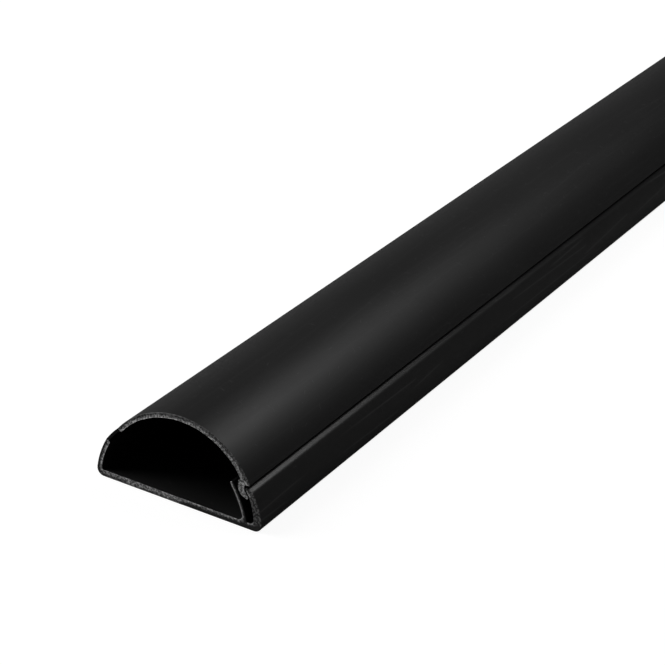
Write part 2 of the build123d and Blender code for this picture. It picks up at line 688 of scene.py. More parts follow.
@dataclass(frozen=True)
class Extrusion:
    """A section carried along Y, with a saw cut at each end.

    Attributes:
        MITRE_LIMIT: How far a sharp corner may move for an inset of 1.
        name: Name of the piece.
        length: Length along Y in millimetres.
        cut: The saw cut of both ends.
        row_spacing: Distance between the rows of points along Y.
        sharp_degrees: Angle between faces above which an edge stays sharp.
    """

    MITRE_LIMIT: ClassVar[float] = 2.0

    name: str
    length: float
    cut: SawCut = SawCut()
    row_spacing: float = 12.5
    sharp_degrees: float = 32.0

    def build(self, loop: Loop) -> bpy.types.Object:
        """Carry the outline along Y.

        Args:
            loop: The closed outline.

        Returns:
            The piece. Point (row, k) is outline point k, moved inwards along its mitre by the row's inset
            and set at the row's Y. The points of the two torn faces follow. The mesh keeps the shares of
            burr, polish and scuff at its points, and a map of the unrolled surface, in metres: the distance
            round the outline, and Y.
        """
        count = len(loop.points)
        step, mitre = self._steps_and_mitres(loop.points)
        seeds = self.cut.seed, self.cut.seed + 1
        (inset, near_depth), (_, far_depth) = (self.cut.rim(loop.burr, seed) for seed in seeds)
        near, far = (self.cut.face(loop.points - inset[0] * mitre, loop.burr, seed) for seed in seeds)
        half = self.length / 2
        body = np.linspace(-half, half, round(self.length / self.row_spacing) + 1)[1:-1]
        along = np.concatenate(
            [near_depth - half, np.repeat(body[:, None], count, axis=1), (half - far_depth)[::-1]]
        )
        insets = np.concatenate([inset, np.zeros(len(body)), inset[::-1]])
        section = loop.points - insets[:, None, None] * mitre
        points = np.concatenate(
            [
                np.stack([section[..., 0], along, section[..., 1]], axis=-1).reshape(-1, 3),
                np.insert(near.points, 1, near.depth - half, axis=1),
                np.insert(far.points, 1, half - far.depth, axis=1),
            ]
        )

        rows = len(insets)
        index = np.arange(rows * count).reshape(rows, count)
        quads = self._corners(index).reshape(-1, 4)
        near_index = np.concatenate([index[0], rows * count + np.arange(len(near.points))])
        far_index = np.concatenate([index[-1], rows * count + len(near.points) + np.arange(len(far.points))])
        caps = np.concatenate([near_index[near.triangles], far_index[far.triangles][:, ::-1]])

        mesh = bpy.data.meshes.new(self.name)
        mesh.from_pydata(points * MM, [], quads.tolist() + caps.tolist())
        faces = np.full((rows - 1, count), Face.SKIN.value)
        faces[: len(inset) - 1] = faces[1 - len(inset) :] = Face.CUT.value
        faces = np.append(faces, np.full(len(caps), Face.CUT.value))
        mesh.polygons.foreach_set("material_index", faces.astype(np.int32))
        bare = np.zeros(len(near.points) + len(far.points))
        self._keep(mesh, Layer.BURR_AND_LIGHT, np.concatenate([np.tile(loop.burr, rows), near.burr, far.burr]))
        self._keep(mesh, Layer.POLISH, np.concatenate([np.tile(loop.polish, rows), bare]))
        self._keep(mesh, Layer.SCUFF, np.concatenate([np.tile(loop.scuff, rows), bare]))

        round_outline = np.append(0, np.cumsum(step))
        start, end = (np.broadcast_to(way, along.shape) for way in (round_outline[:-1], round_outline[1:]))
        across = np.stack([start[:-1], start[1:], end[1:], end[:-1]], axis=-1)
        sides = np.stack([across, self._corners(along)], axis=-1).reshape(-1, 2)
        unrolled = np.concatenate([sides, points[caps.ravel()][:, ::2]]) * MM
        flat = mesh.uv_layers.new(name=Layer.UNROLLED.value)
        flat.data.foreach_set("uv", unrolled.astype(np.float32).ravel())

        mesh.shade_smooth()
        mesh.set_sharp_from_angle(angle=math.radians(self.sharp_degrees))
        mesh.validate()
        return add_object(self.name, mesh)

    def _steps_and_mitres(self, points: np.ndarray) -> tuple[np.ndarray, np.ndarray]:
        """Measure a closed outline.

        Args:
            points: Its points.

        Returns:
            The distance from each point to the next one, and the mitre of each point: twice the sum of the
            outward normals beside it over the square of that sum, so that both edges move by an inset.
        """
        ahead = np.roll(points, -1, axis=0) - points
        step = np.linalg.norm(ahead, axis=1, keepdims=True)
        normal = -left_of(ahead / step)
        both = normal + np.roll(normal, 1, axis=0)
        square = np.sum(both**2, axis=1, keepdims=True)
        return step, both * (2 / np.maximum(square, (2 / self.MITRE_LIMIT) ** 2))

    @staticmethod
    def _corners(grid: np.ndarray) -> np.ndarray:
        """The four values at the corners of each field of a grid of rows that close on themselves."""
        beside = np.roll(grid, -1, axis=1)
        return np.stack([grid[:-1], grid[1:], beside[1:], beside[:-1]], axis=-1)

    @staticmethod
    def _keep(mesh: bpy.types.Mesh, layer: Layer, values: np.ndarray) -> None:
        """Keep one number for each point of a mesh."""
        kept = mesh.attributes.new(layer.value, "FLOAT", "POINT")
        kept.data.foreach_set("value", values.astype(np.float32))


# Shader trees


class Graph:
    """The nodes of one shader tree, added step by step."""

    def __init__(self, tree: bpy.types.NodeTree) -> None:
        """Take over the tree."""
        self.tree = tree

    def own(self, kind: str) -> bpy.types.Node:
        """The node of a type that the tree starts with."""
        return next(node for node in self.tree.nodes if node.type == kind)

    def node(self, kind: str, **settings: object) -> bpy.types.Node:
        """Add a node.

        Args:
            kind: Type of the node.
            settings: Its properties.

        Returns:
            The node.
        """
        made = self.tree.nodes.new(kind)
        for key, value in settings.items():
            setattr(made, key, value)
        return made

    def put(self, socket: Socket, value: object) -> None:
        """Set a socket or link it.

        Args:
            socket: Input of a node.
            value: What to set it to, or the socket to link.
        """
        if isinstance(value, bpy.types.NodeSocket):
            self.tree.links.new(value, socket)
        else:
            socket.default_value = value

    def fill(self, made: bpy.types.Node, **values: object) -> bpy.types.NodeOutputs:
        """Set or link the inputs of a node.

        Args:
            made: The node.
            values: Value or socket for each input, whose name is written with _ for a space.

        Returns:
            The node's outputs.
        """
        for key, value in values.items():
            self.put(made.inputs[key.replace("_", " ")], value)
        return made.outputs

    def math(self, operation: str, *values: object) -> Socket:
        """Add one step of arithmetic.

        Args:
            operation: Name of the step.
            values: The numbers and sockets that it takes, in order.

        Returns:
            Its result.
        """
        made = self.node("ShaderNodeMath", operation=operation)
        for socket, value in zip(made.inputs, values):
            self.put(socket, value)
        return made.outputs[0]

    def ramp(self, value: Socket, low: float, high: float) -> Socket:
        """Add a smooth step.

        Args:
            value: What the step follows.
            low: Where it is 0.
            high: Where it is 1; it may be under low.

        Returns:
            The step, which stays at 0 or 1 beyond the two.
        """
        made = self.node("ShaderNodeMapRange", interpolation_type="SMOOTHSTEP")
        rise = {"From_Min": low, "From_Max": high, "To_Min": 0.0, "To_Max": 1.0}
        fall = {"From_Min": high, "From_Max": low, "To_Min": 1.0, "To_Max": 0.0}
        return self.fill(made, Value=value, **(rise if low < high else fall))["Result"]

    def around(self, value: Socket, mean: float, spread: float) -> Socket:
        """A number from a spread under its mean to a spread over it, as the value goes from 0 to 1."""
        return self.math("MULTIPLY_ADD", value, 2 * spread, mean - spread)


# Shader node groups: effects that the finishes share


class Effect(Graph):
    """A shader node group that works out one effect from the piece's own coordinates."""

    def __init__(self, name: str, outputs: tuple[str, ...], inputs: tuple[str, ...] = ()) -> None:
        """Make the group with its sockets.

        Args:
            name: Name of the group.
            outputs: Names of the values that the group puts out.
            inputs: Names of the numbers that a finish sets.
        """
        super().__init__(bpy.data.node_groups.new(name, "ShaderNodeTree"))
        for way, keys in (("INPUT", inputs), ("OUTPUT", outputs)):
            for key in keys:
                self.tree.interface.new_socket(key, in_out=way, socket_type="NodeSocketFloat")
        self.given = self.node("NodeGroupInput").outputs
        self.result = self.node("NodeGroupOutput").inputs

    def _scaled(self, vector: Socket, scale: tuple[float, float, float]) -> Socket:
        """Coordinates scaled along each axis."""
        return self.fill(self.node("ShaderNodeMapping", vector_type="POINT"), Vector=vector, Scale=scale)[0]

    def solid(self, x: float, y: float, z: float) -> Socket:
        """The object's coordinates, with so many units in a metre along each axis."""
        return self._scaled(self.node("ShaderNodeTexCoord").outputs["Object"], (x, y, z))

    def unrolled(self, across: float, along: float) -> Socket:
        """The unrolled surface, with so many units in a metre round the outline and along the stock."""
        flat = self.node("ShaderNodeUVMap", uv_map=Layer.UNROLLED.value).outputs["UV"]
        return self._scaled(flat, (across, along, 1.0))

    def noise(self, vector: Socket, detail: float, roughness: float = 0.5) -> Socket:
        """Smooth noise, from 0 to 1, with one hill about every unit of the vector."""
        made = self.node("ShaderNodeTexNoise")
        return self.fill(made, Vector=vector, Scale=1.0, Detail=detail, Roughness=roughness)["Fac"]

    def cells(self, vector: Socket) -> tuple[bpy.types.NodeOutputs, bpy.types.NodeOutputs]:
        """Split a flat vector into cells about scattered points.

        Args:
            vector: The vector, with one cell about every unit.

        Returns:
            The outputs of the cells' texture, and three random numbers for each cell.
        """
        made = self.node("ShaderNodeTexVoronoi", voronoi_dimensions="2D", feature="F1")
        found = self.fill(made, Vector=vector, Scale=1.0)
        return found, self.fill(self.node("ShaderNodeSeparateColor"), Color=found["Color"])

    def give(self, key: str, value: Socket) -> None:
        """Link a value to one of the group's outputs."""
        self.put(self.result[key], value)


def make_die_lines() -> bpy.types.NodeTree:
    """Build the lines that the die draws along the stock.

    Returns:
        A group whose Height is noise that changes every half millimetre across the section and hardly along
        it, and whose Streak is the same on a scale of a few millimetres.
    """
    effect = Effect("die_lines", ("Height", "Streak"))
    effect.give("Height", effect.noise(effect.unrolled(across=2200.0, along=1.5), detail=2.0))
    effect.give("Streak", effect.noise(effect.unrolled(across=260.0, along=2.5), detail=2.0))
    return effect.tree


def make_grain() -> bpy.types.NodeTree:
    """Build the fine satin grain of extruded plastic.

    Returns:
        A group whose Height is noise about a quarter of a millimetre wide and whose Cloud is noise a few
        centimetres wide, longer along the stock.
    """
    effect = Effect("satin_grain", ("Height", "Cloud"))
    fine = effect.noise(effect.solid(x=3800.0, y=3000.0, z=3800.0), detail=3.0, roughness=0.6)
    effect.give("Height", fine)
    effect.give("Cloud", effect.noise(effect.solid(x=60.0, y=22.0, z=60.0), detail=3.0))
    return effect.tree


def make_dust(density: float = 260.0, radius: float = 0.05, smallest: float = 0.4) -> bpy.types.NodeTree:
    """Build scattered specks of dust.

    Args:
        density: Cells in a metre, each way.
        radius: How far the radii of the specks differ, in cells.
        smallest: Radius of the smallest speck, as a share of that.

    Returns:
        A group whose Mask is 1 on round specks: the unrolled surface is split into cells, a Share of the
        cells holds one speck at its own point, and its radius differs from cell to cell.
    """
    effect = Effect("dust_specks", ("Mask",), ("Share",))
    found, drawn = effect.cells(effect.unrolled(across=density, along=density))
    held = effect.math("LESS_THAN", drawn["Red"], effect.given["Share"])
    size = effect.math("MULTIPLY", radius, effect.math("ADD", drawn["Green"], smallest))
    near = effect.ramp(effect.math("DIVIDE", found["Distance"], size), low=1.0, high=0.5)
    effect.give("Mask", effect.math("MULTIPLY", held, near))
    return effect.tree


def make_strokes(
    name: str, across: float, along: float, turn: float, length: float, width: float, shortest: float = 0.3
) -> bpy.types.NodeTree:
    """Build straight scratches.

    Args:
        name: Name of the group.
        across: Cells in a metre round the outline.
        along: Cells in a metre along the stock.
        turn: How far a scratch may lie turned from the stock's length, as seen in a square cell.
        length: How far the half lengths of the scratches differ, in cells.
        width: Half width of a scratch, in cells.
        shortest: Half length of the shortest scratch, as a share of length.

    Returns:
        A group whose Mask is 1 on scratches: the unrolled surface is split into cells, a Share of the cells
        holds one scratch through its own point, and its turn and length differ from cell to cell.
    """
    effect = Effect(name, ("Mask",), ("Share",))
    place = effect.unrolled(across, along)
    found, drawn = effect.cells(place)
    away = effect.node("ShaderNodeVectorMath", operation="SUBTRACT")
    effect.put(away.inputs[0], place)
    effect.put(away.inputs[1], found["Position"])
    angle = effect.around(drawn["Red"], 0.0, turn)
    spin = effect.node("ShaderNodeVectorRotate", rotation_type="Z_AXIS")
    turned = effect.fill(spin, Vector=away.outputs[0], Angle=angle)[0]
    split = effect.fill(effect.node("ShaderNodeSeparateXYZ"), Vector=turned)
    half = effect.math("MULTIPLY", length, effect.math("ADD", drawn["Green"], shortest))
    reach = effect.math("DIVIDE", effect.math("ABSOLUTE", split["Y"]), half)
    offset = effect.math("DIVIDE", effect.math("ABSOLUTE", split["X"]), width)
    held = effect.math("LESS_THAN", drawn["Blue"], effect.given["Share"])
    faded = effect.ramp(reach, low=1.0, high=0.3)
    near = effect.math("MULTIPLY", faded, effect.ramp(offset, low=1.0, high=0.4))
    effect.give("Mask", effect.math("MULTIPLY", held, near))
    return effect.tree


def make_nicks() -> bpy.types.NodeTree:
    """Build the short scratches that handling leaves, turned every way."""
    return make_strokes("short_nicks", across=150.0, along=150.0, turn=math.pi / 2, length=0.16, width=0.022)


def make_scuffs() -> bpy.types.NodeTree:
    """Build the faint streaks that stock gets as lengths slide over each other, nearly along it."""
    return make_strokes("sliding_scuffs", across=240.0, along=22.0, turn=0.6, length=0.9, width=0.07)


def make_saw_marks(teeth_share: float = 0.6) -> bpy.types.NodeTree:
    """Build the torn and smeared look of a sawn face.

    Args:
        teeth_share: Height of the teeth's lines, where that of the blotches is 1.

    Returns:
        A group whose Tear is blotchy noise about half a millimetre wide, whose Drift is noise some
        millimetres wide, and whose Height adds the teeth's fine parallel lines to the blotches.
    """
    effect = Effect("saw_marks", ("Tear", "Drift", "Height"))
    blotch = effect.noise(effect.solid(x=1500.0, y=500.0, z=1500.0), detail=2.0, roughness=0.7)
    teeth = effect.noise(effect.solid(x=500.0, y=500.0, z=5200.0), detail=2.0)
    effect.give("Tear", effect.ramp(blotch, low=0.42, high=0.62))
    effect.give("Drift", effect.noise(effect.solid(x=190.0, y=60.0, z=190.0), detail=2.0))
    effect.give("Height", effect.math("MULTIPLY_ADD", teeth, teeth_share, blotch))
    return effect.tree


@dataclass(frozen=True)
class Effects:
    """The shared node groups, built once."""

    die_lines: bpy.types.NodeTree = field(default_factory=make_die_lines)
    grain: bpy.types.NodeTree = field(default_factory=make_grain)
    dust: bpy.types.NodeTree = field(default_factory=make_dust)
    nicks: bpy.types.NodeTree = field(default_factory=make_nicks)
    scuffs: bpy.types.NodeTree = field(default_factory=make_scuffs)
    saw_marks: bpy.types.NodeTree = field(default_factory=make_saw_marks)


# Finishes


class Paint(Graph):
    """A material whose nodes are added step by step.

    Attributes:
        COLOUR_INPUTS: Which inputs of a Mix node take its two colours.
        COLOUR_OUTPUT: Which output of it gives the mixed colour.
    """

    COLOUR_INPUTS: ClassVar[slice] = slice(6, 8)
    COLOUR_OUTPUT: ClassVar[int] = 2

    def __init__(self, name: str) -> None:
        """Make the material with its Principled shader.

        Args:
            name: Name of the material.
        """
        self.material = bpy.data.materials.new(name)
        self.material.use_nodes = True
        super().__init__(self.material.node_tree)
        self.shader = self.own("BSDF_PRINCIPLED")

    def group(self, tree: bpy.types.NodeTree, **values: float) -> bpy.types.NodeOutputs:
        """Place a shared effect with its own values."""
        return self.fill(self.node("ShaderNodeGroup", node_tree=tree), **values)

    def share(self, layer: Layer) -> Socket:
        """A share that the mesh keeps at its points."""
        return self.node("ShaderNodeAttribute", attribute_name=layer.value).outputs["Fac"]

    def blend(self, share: Socket, first: float | Socket, second: float | Socket) -> Socket:
        """Mix two greys or colours.

        Args:
            share: Share of the second one.
            first: Grey or colour socket where the share is 0.
            second: Grey or colour socket where it is 1.

        Returns:
            The mixed colour.
        """
        made = self.node("ShaderNodeMix", data_type="RGBA")
        self.put(made.inputs["Factor"], share)
        for socket, value in zip(made.inputs[self.COLOUR_INPUTS], (first, second)):
            self.put(socket, grey(value) if isinstance(value, float) else value)
        return made.outputs[self.COLOUR_OUTPUT]

    def bump(self, height: Socket, depth: float, below: Socket | None = None) -> Socket:
        """Turn a height into a normal.

        Args:
            height: The height, from 0 to 1.
            depth: Depth of the relief in metres.
            below: Normal of another bump that this one lies over.

        Returns:
            The normal.
        """
        made = self.node("ShaderNodeBump")
        if below is not None:
            self.put(made.inputs["Normal"], below)
        return self.fill(made, Distance=depth, Strength=1.0, Height=height)["Normal"]

    def set(self, **values: object) -> None:
        """Set or link the shader's inputs."""
        self.fill(self.shader, **values)


@dataclass(frozen=True)
class SatinSkin:
    """Extruded black plastic with a satin skin: die lines, a fine grain, faint scratches and specks of dust.

    Attributes:
        name: Name of the material.
        tone: Grey of the plastic.
        clouding: Factors on that grey in its darkest and its lightest clouds.
        worn_tone: Grey of dust and scratches.
        roughness: Mean roughness of the skin.
        roughness_spread: How far streaks and clouds move it.
        worn_roughness: What dust and scratches add to it.
        polished: Roughness where the lid's lip has rubbed the skin smooth.
        grain_depth: Depth of the grain in metres.
        line_depth: Depth of the die lines in metres.
        ior: Refractive index of the plastic.
        dust: Strength of the specks.
        dust_share: Share of the cells that hold a speck.
        nicks: Strength of the short scratches.
        nick_share: Share of the cells that hold a short scratch.
        scuffs: Strength of the streaks from the bundle.
        scuff_share: Share of the cells that hold a streak.
    """

    name: str = "satin_black_skin"
    tone: float = 0.010
    clouding: tuple[float, float] = (0.85, 1.2)
    worn_tone: float = 0.05
    roughness: float = 0.47
    roughness_spread: float = 0.05
    worn_roughness: float = 0.08
    polished: float = 0.29
    grain_depth: float = 0.000012
    line_depth: float = 0.000008
    ior: float = 1.5
    dust: float = 0.6
    dust_share: float = 0.5
    nicks: float = 0.7
    nick_share: float = 0.6
    scuffs: float = 0.7
    scuff_share: float = 0.6

    def build(self, effects: Effects) -> bpy.types.Material:
        """Build the material.

        Args:
            effects: The shared node groups.

        Returns:
            The material.
        """
        paint = Paint(self.name)
        lines, grain = paint.group(effects.die_lines), paint.group(effects.grain)
        rubbed = paint.math("MULTIPLY", paint.share(Layer.SCUFF), self.scuffs)
        dust, nicks, scuffs = (
            paint.math("MULTIPLY", paint.group(tree, Share=share)["Mask"], strength)
            for tree, share, strength in (
                (effects.dust, self.dust_share, self.dust),
                (effects.nicks, self.nick_share, self.nicks),
                (effects.scuffs, self.scuff_share, rubbed),
            )
        )
        worn = paint.math("MAXIMUM", dust, paint.math("MAXIMUM", nicks, scuffs))
        clouded = paint.blend(grain["Cloud"], *(self.tone * factor for factor in self.clouding))

        wander = paint.math("SUBTRACT", paint.math("ADD", lines["Streak"], grain["Cloud"]), 1.0)
        skin = paint.math("MULTIPLY_ADD", wander, 2 * self.roughness_spread, self.roughness)
        smooth = paint.math("MULTIPLY_ADD", paint.share(Layer.POLISH), self.polished - self.roughness, skin)
        drawn = paint.bump(lines["Height"], self.line_depth)
        paint.set(
            Base_Color=paint.blend(worn, clouded, self.worn_tone),
            Roughness=paint.math("MULTIPLY_ADD", worn, self.worn_roughness, smooth),
            Normal=paint.bump(grain["Height"], self.grain_depth, drawn),
            IOR=self.ior,
        )
        return paint.material


@dataclass(frozen=True)
class SawnFace:
    """Sawn end of black plastic: smeared near the outer skin, torn towards the burr inside, with a painted
    highlight.

    Attributes:
        name: Name of the material.
        smeared: Darkest and lightest grey of the smeared part.
        torn: Darkest grey of the torn part, and its lightest, which is the white of the painted highlight.
        smooth: Shares of the burr between which blotches come up in the smeared part.
        border: Shares of the burr between which the smeared part becomes the torn one.
        feathered_highlight: Shares of the burr between which the torn part turns white all over: the saw's
            white burr together with a painted highlight on the edges that face the key light.
        drift: How far these borders wander.
        roughness: Mean roughness of the face.
        roughness_spread: How far the blotches move it.
        mark_depth: Depth of the saw's marks in metres.
        ior: Refractive index of the plastic.
    """

    name: str = "sawn_black_plastic"
    smeared: tuple[float, float] = (0.03, 0.24)
    torn: tuple[float, float] = (0.14, 0.85)
    smooth: tuple[float, float] = (-0.2, 0.3)
    border: tuple[float, float] = (0.5, 0.8)
    feathered_highlight: tuple[float, float] = (1.0, 1.6)
    drift: float = 0.9
    roughness: float = 0.6
    roughness_spread: float = 0.1
    mark_depth: float = 0.00005
    ior: float = 1.5

    def build(self, effects: Effects) -> bpy.types.Material:
        """Build the material.

        Args:
            effects: The shared node groups.

        Returns:
            The material.
        """
        paint = Paint(self.name)
        marks = paint.group(effects.saw_marks)
        wander = paint.math("MULTIPLY", paint.math("SUBTRACT", marks["Drift"], 0.5), self.drift)
        burr = paint.share(Layer.BURR_AND_LIGHT)
        blotched = paint.math("MULTIPLY", marks["Tear"], paint.ramp(burr, *self.smooth))
        uneven = paint.math("ADD", burr, wander)
        # Painted highlight: where the burr share is highest the torn part turns white, on the edges that
        # face the key light.
        whitened_highlight = paint.math("MAXIMUM", marks["Tear"], paint.ramp(uneven, *self.feathered_highlight))
        torn = paint.ramp(uneven, *self.border)
        smeared_tone, torn_tone = paint.blend(blotched, *self.smeared), paint.blend(whitened_highlight, *self.torn)
        paint.set(
            Base_Color=paint.blend(torn, smeared_tone, torn_tone),
            Roughness=paint.around(marks["Tear"], self.roughness, self.roughness_spread),
            Normal=paint.bump(marks["Height"], self.mark_depth),
            IOR=self.ior,
        )
        return paint.material


@dataclass(frozen=True)
class SoftSkin:
    """Dull flexible plastic of the hinge strip.

    Attributes:
        name: Name of the material.
        tone: Grey of the plastic.
        bloom_tone: Grey of the faint bloom on it.
        roughness: Mean roughness.
        roughness_spread: How far streaks move it.
        grain_depth: Depth of the grain in metres.
        ior: Refractive index of the plastic.
        gloss: Specular level, under the usual half because the plastic sweats a dull film.
    """

    name: str = "dull_soft_plastic"
    tone: float = 0.003
    bloom_tone: float = 0.008
    roughness: float = 0.62
    roughness_spread: float = 0.075
    grain_depth: float = 0.00002
    ior: float = 1.5
    gloss: float = 0.25

    def build(self, effects: Effects) -> bpy.types.Material:
        """Build the material.

        Args:
            effects: The shared node groups.

        Returns:
            The material.
        """
        paint = Paint(self.name)
        lines, grain = paint.group(effects.die_lines), paint.group(effects.grain)
        paint.set(
            Base_Color=paint.blend(grain["Cloud"], self.tone, self.bloom_tone),
            Roughness=paint.around(lines["Streak"], self.roughness, self.roughness_spread),
            Normal=paint.bump(grain["Height"], self.grain_depth),
            IOR=self.ior,
            Specular_IOR_Level=self.gloss,
        )
        return paint.material


@dataclass(frozen=True)
class Finishes:
    """The finished materials of the stock."""

    skin: bpy.types.Material
    cut: bpy.types.Material
    soft: bpy.types.Material


def make_finishes() -> Finishes:
    """Build the shared effects and every finish from them."""
    effects = Effects()
    return Finishes(SatinSkin().build(effects), SawnFace().build(effects), SoftSkin().build(effects))


# Pieces


@dataclass(frozen=True)
class Piece(ABC):
    """A piece of the stock: its section, carried along Y in place of its solid.

    Attributes:
        NAME: Name of the piece.
        NODE: Name of the solid that it stands for.
        SLOT: Material slot of its solid in the imported record; it is not used.
        section: Sizes of the whole section.
    """

    NAME: ClassVar[str]
    NODE: ClassVar[str]
    SLOT: ClassVar[Slot] = Slot.RIGID

    section: Section

    @abstractmethod
    def outline(self) -> Outline:
        """Draw the outline of the piece."""

    @abstractmethod
    def carry(self, piece: bpy.types.Object) -> bpy.types.Object:
        """Make the piece move with the body that carries it, or fix it where it stands."""

    def skins(self, finishes: Finishes) -> tuple[bpy.types.Material, bpy.types.Material]:
        """The finishes of the piece's skin and of its sawn ends."""
        return finishes.skin, finishes.cut

    def build(self) -> bpy.types.Object:
        """Build the piece in place of its solid.

        Returns:
            The piece.
        """
        piece = Extrusion(self.NAME, self.section.length).build(self.outline().loop())
        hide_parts(self.NODE)
        return self.carry(piece)

    def dress(self, piece: bpy.types.Object, finishes: Finishes) -> None:
        """Give the piece its finishes.

        Args:
            piece: The piece.
            finishes: The finished materials.
        """
        for material in self.skins(finishes):
            piece.data.materials.append(material)


@dataclass(frozen=True)
class BaseChannel(Piece):
    """Base channel: floor, hinge wall, clip wall with its ledge and tongue, and the rib.

    Attributes:
        heel_rounding: Radius of the outer bottom edges.
        floor_rounding: Radius inside, between floor and walls.
        tongue_rounding: Radius of the tongue's edges.
        ledge_rounding: Radius of the ledge's outer edge.
        rib_root_rounding: Radius at the rib's root, on the cables' side.
        pocket_rounding: Radius at the rib's root, on the clip's side.
        smear_start: Where the saw begins to smear the floor's cut, across the stock from the middle.
        feather_and_highlight_start: Where the floor's inner edge begins to carry the feathered burr and
            painted highlight of its cut.
        outer: What the hinge wall's outer face carries.
        torn_side: What the underside carries up to smear_start.
        smeared_side: What it carries from there on.
        clip_face: What the clip wall's outer face carries.
        ledge: What the ledge carries, which the lid's lip slides over.
        pocket: What the clip wall's inner face carries.
        rib_back: What the rib's face towards the clip wall carries: a low burr share, which paints its cut
            in shade.
        rib_front: What the rib's end and its face towards the cables carry: a burr share so high that their
            cut is painted with a highlight, where it faces the key light.
        frayed_and_highlit: What the floor's inner edge and the hinge wall's inner face carry: the saw's
            feathered burr, and a painted highlight on their cut.
    """

    NAME = "channel_extrusion"
    NODE = "base_channel"

    heel_rounding: float = 2.1
    floor_rounding: float = 1.0
    tongue_rounding: float = 0.3
    ledge_rounding: float = 1.4
    rib_root_rounding: float = 1.2
    pocket_rounding: float = 0.5
    smear_start: float = 1.0
    feather_and_highlight_start: float = -4.0
    outer: Trait = Trait(burr=-0.5, scuff=0.4)
    torn_side: Trait = Trait(burr=0.45, scuff=0.4)
    smeared_side: Trait = Trait(burr=-1.5, scuff=0.4)
    clip_face: Trait = Trait(burr=0.25, scuff=1.0)
    ledge: Trait = Trait(burr=0.25, polish=1.0)
    pocket: Trait = Trait(burr=0.5)
    # Painted shade on the rib's cut, on the side turned from the key light.
    rib_back: Trait = Trait(burr=-0.8)
    # Painted highlight on the rib's cut, where it faces the key light.
    rib_front: Trait = Trait(burr=1.9)
    # Feathered burr and a painted highlight on the cut of the floor's inner edge and the hinge wall's inner
    # face.
    frayed_and_highlit: Trait = Trait(burr=1.25)

    def outline(self) -> Outline:
        """Draw the outline.

        Returns:
            The outline: down the hinge wall, along the underside, up the clip wall and back inside.
        """
        s = self.section
        hinge_heel, clip_heel = point(-s.base_radius, 0), point(s.base_radius, 0)
        smear_edge, feather_and_highlight_edge = point(self.smear_start, 0), point(self.feather_and_highlight_start, s.floor_thickness)
        floor_at_clip = on_circle(s.clip_bore, s.floor_thickness, Side.CLIP)
        floor_at_hinge = on_circle(s.hinge_bore, s.floor_thickness, Side.HINGE)
        wall_height = (s.floor_thickness + s.base_hinge_inner[1]) / 2
        wall_middle = on_circle(s.hinge_bore, wall_height, Side.HINGE)
        wall_centre = circle_centre(floor_at_hinge, wall_middle, s.base_hinge_inner)
        (outer_foot, outer_top), (inner_foot, inner_top) = s.rib_face(1), s.rib_face(-1)

        outline = Outline(s.base_hinge_edge)
        outline.arc(s.middle, hinge_heel, trait=self.outer)
        outline.line(smear_edge, self.heel_rounding, self.torn_side)
        outline.line(clip_heel, trait=self.smeared_side)
        outline.arc(s.clip_wall_centre, s.ledge_edge, self.heel_rounding, self.clip_face)
        outline.line(s.tongue_top, self.ledge_rounding, self.ledge)
        outline.line(s.tongue_low, self.tongue_rounding)
        outline.line(s.tongue_root, self.tongue_rounding)
        outline.arc(s.middle, floor_at_clip, trait=self.pocket)
        outline.line(outer_foot, self.floor_rounding)
        outline.arc(s.rib_centre, outer_top, self.pocket_rounding, self.rib_back)
        outline.arc(s.rib_end, inner_top, trait=self.rib_front, turn=1)
        outline.arc(s.rib_centre, inner_foot, trait=self.rib_front)
        outline.line(feather_and_highlight_edge, self.rib_root_rounding, self.frayed_and_highlit)
        outline.line(floor_at_hinge)
        outline.arc(wall_centre, s.base_hinge_inner, self.floor_rounding, self.frayed_and_highlit)
        outline.line(s.base_hinge_edge)
        return outline

    def carry(self, piece: bpy.types.Object) -> bpy.types.Object:
        """Make the piece ride on the base."""
        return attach(piece, Body.BASE.value)


@dataclass(frozen=True)
class Lid(Piece):
    """Domed lid with the clip along its free edge.

    Attributes:
        web_rounding: Radius of the web's and the hook's inner corners.
        hook_rounding: Radius of the clip's other corners.
        outer: What the dome's outer face carries.
    """

    NAME = "lid_extrusion"
    NODE = "lid"

    web_rounding: float = 0.7
    hook_rounding: float = 0.3
    outer: Trait = Trait(burr=0.35, scuff=0.15)

    def outline(self) -> Outline:
        """Draw the outline.

        Returns:
            The outline: over the dome to the hinge, back inside, and round the clip.
        """
        s = self.section
        crown = point(0, s.base_radius - s.lid_thickness)
        bore_centre = circle_centre(s.lid_hinge_inner, crown, s.notch)
        outline = Outline(s.lip_edge)
        outline.arc(s.lid_centre, s.lid_hinge_edge, self.hook_rounding, self.outer)
        outline.line(s.lid_hinge_inner)
        outline.arc(bore_centre, s.notch)
        outline.line(s.web_top)
        outline.line(s.web_low, self.web_rounding)
        outline.arc(s.middle, s.hook_back)
        outline.line(s.hook_toe, self.web_rounding)
        outline.line(s.hook_heel, self.hook_rounding)
        outline.arc(s.middle, s.hook_edge, self.hook_rounding)
        for corner in (s.groove_low, s.groove_top, s.lip_edge):
            outline.line(corner, self.hook_rounding)
        return outline

    def carry(self, piece: bpy.types.Object) -> bpy.types.Object:
        """Make the piece ride on the lid's body."""
        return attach(piece, Body.LID.value)


